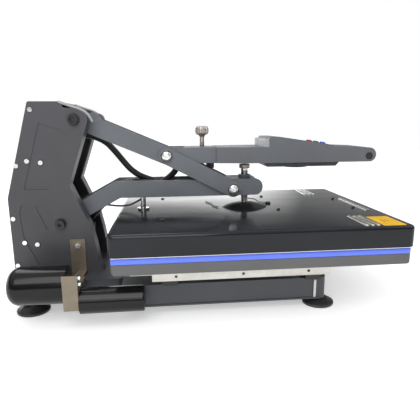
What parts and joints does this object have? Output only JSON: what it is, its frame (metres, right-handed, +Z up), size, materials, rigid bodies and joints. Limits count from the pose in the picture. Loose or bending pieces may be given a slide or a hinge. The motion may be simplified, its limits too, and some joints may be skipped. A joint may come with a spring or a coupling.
{
  "type": "heat press",
  "caption": "Clamshell heat press: slide-out padded lower platen, hinged heated upper platen on a toggle linkage, and a handle with control box and push buttons.",
  "frame": {"origin": "on the bench plane under the feet, below the centre of the platen, which is the axis of the pressure screw", "axes": "+Z up; -Y towards the operator and the handle's grip, +Y towards the back frame; +X to the operator's right"},
  "size_m": [0.408, 0.6964, 0.368],
  "materials": {
    "arm_paint": "satin blue-grey powder coat",
    "bare_aluminium": "milled",
    "base_paint": "satin dark grey powder coat",
    "black_plastic": "fine-grained moulded plastic",
    "black_steel": "black oxide",
    "blue_plastic": "gloss moulded plastic",
    "bronze": "sintered bronze",
    "clamp_zinc": "yellow-passivated zinc",
    "cover_black": "gloss black enamel",
    "display_glass": "smoked display window",
    "frame_paint": "fine-textured grey powder coat",
    "gloss_black": "gloss black enamel",
    "green_plastic": "gloss moulded plastic",
    "handle_paint": "satin blue-grey powder coat",
    "insulation": "ceramic fibre felt",
    "knob_steel": "turned steel",
    "light_plastic": "light grey moulded plastic",
    "pad_silicone": "smooth blue silicone foam",
    "pan_paint": "satin mid grey powder coat",
    "polished_steel": "ground and polished",
    "red_plastic": "gloss moulded plastic",
    "rocker_plastic": "gloss moulded plastic",
    "rubber": "matte moulded rubber",
    "screw_zinc": "bright zinc plate",
    "sleeve_black": "corrugated nylon sleeve",
    "zinc": "bright zinc plate"
  },
  "bodies": {
    "frame": {"foot_pads": "rubber", "foot_studs": "zinc", "base_channels": "base_paint", "base_crossbar": "base_paint", "rear_base": "base_paint", "side_plate_left": "frame_paint", "side_plate_right": "frame_paint", "back_cover": "frame_paint", "power_inlet": "black_plastic", "frame_tie_bars": "zinc", "frame_screws": "screw_zinc", "arm_shaft": "polished_steel", "pivot_bolts": "black_steel", "slide_rails": "zinc", "rail_blocks": "black_steel", "gas_bracket": "zinc", "power_module": "bare_aluminium", "canister_tube": "gloss_black", "canister_body": "gloss_black", "canister_clamp": "clamp_zinc"},
    "drawer": {"lower_platen": "pan_paint", "platen_pad": "pad_silicone", "platen_ribs": "zinc", "drawer_brackets": "zinc", "drawer_runners": "zinc"},
    "arm": {"arm_plate_left": "arm_paint", "arm_plate_right": "arm_paint", "arm_bushes": "bronze", "arm_crosspieces": "arm_paint", "front_block": "arm_paint", "front_pin": "polished_steel", "cable_sleeve_rear": "sleeve_black"},
    "upper_platen": {"platen_cover": "cover_black", "heat_plate": "bare_aluminium", "heating_element": "polished_steel", "insulation_mat": "insulation", "load_post": "zinc", "pressure_dome": "cover_black", "guide_rod": "polished_steel"},
    "pressure_screw": {"pressure_screw": "polished_steel"},
    "links": {"link_plates": "arm_paint", "toggle_pin": "polished_steel"},
    "lever": {"lever_plate_left": "arm_paint", "lever_plate_right": "arm_paint", "lever_crosspieces": "arm_paint", "handle_body": "handle_paint", "handle_floor": "black_plastic", "grip_rod": "black_steel", "control_box": "handle_paint", "display_window": "display_glass", "cable_block": "light_plastic", "lever_bumper": "rubber", "cable_sleeve_front": "sleeve_black"},
    "stop_knob": {"stop_knob": "knob_steel"},
    "red_button": {"red_button": "red_plastic"},
    "green_button": {"green_button": "green_plastic"},
    "blue_button": {"blue_button": "blue_plastic"},
    "power_rocker": {"power_rocker": "rocker_plastic"},
    "gas_cylinder": {"gas_cylinder": "black_steel"},
    "gas_rod": {"gas_rod": "polished_steel"}
  },
  "joints": [
    {"name": "arm_lift", "type": "hinge", "parent": "frame", "child": "arm", "pos_m": [0, 0.352, 0.151], "axis": [-1, 0, 0], "range_deg": [0, 40], "deforming": ["cable_sleeve_rear"]},
    {"name": "link_swing", "type": "hinge", "parent": "arm", "child": "links", "pos_m": [0, 0.0286, 0.2029], "axis": [-1, 0, 0], "range_deg": [-56.2, 0], "deforming": ["cable_sleeve_front"]},
    {"name": "lever_swing", "type": "hinge", "parent": "links", "child": "lever", "pos_m": [0, 0.15676, 0.26899], "axis": [-1, 0, 0], "range_deg": [0, 104.9]},
    {"name": "platen_height", "type": "slide", "parent": "arm", "child": "upper_platen", "axis": [0, 0, 1], "range_m": [0, 0.004]},
    {"name": "pressure_turn", "type": "hinge", "parent": "upper_platen", "child": "pressure_screw", "pos_m": [0, 0, 0.181], "axis": [0, 0, 1], "range_deg": [0, 720]},
    {"name": "drawer_slide", "type": "slide", "parent": "frame", "child": "drawer", "axis": [0, -1, 0], "range_m": [0, 0.22]},
    {"name": "gas_swing", "type": "hinge", "parent": "frame", "child": "gas_cylinder", "pos_m": [0, 0.316, 0.069], "axis": [-1, 0, 0], "range_deg": [0, 13.1]},
    {"name": "gas_stroke", "type": "slide", "parent": "gas_cylinder", "child": "gas_rod", "axis": [0, -0.0576, 0.9983], "range_m": [0, 0.024]},
    {"name": "stop_knob_turn", "type": "hinge", "parent": "lever", "child": "stop_knob", "pos_m": [0, 0.086, 0.28424], "axis": [0, 0, 1], "range_deg": [-180, 180]},
    {"name": "red_button_press", "type": "slide", "parent": "lever", "child": "red_button", "axis": [0, 0.1524, -0.9883], "range_m": [0, 0.002], "stiffness_N_per_m": 400},
    {"name": "green_button_press", "type": "slide", "parent": "lever", "child": "green_button", "axis": [0, 0.1524, -0.9883], "range_m": [0, 0.002], "stiffness_N_per_m": 400},
    {"name": "blue_button_press", "type": "slide", "parent": "lever", "child": "blue_button", "axis": [0, 0.1524, -0.9883], "range_m": [0, 0.002], "stiffness_N_per_m": 400},
    {"name": "power_rocker_tilt", "type": "hinge", "parent": "frame", "child": "power_rocker", "pos_m": [0.021, 0.435, 0.081], "axis": [0, 0, 1], "range_deg": [0, 10]}
  ],
  "couplings": [
    {"joint": "link_swing", "follows": "arm_lift", "ratio": -1.3678},
    {"joint": "lever_swing", "follows": "arm_lift", "ratio": 2.5845},
    {"joint": "gas_swing", "follows": "arm_lift", "ratio": 0.28568},
    {"joint": "gas_stroke", "follows": "arm_lift", "m_per_rad": 0.032878},
    {"joint": "pressure_turn", "follows": "platen_height", "rad_per_m": 3141.6}
  ]
}
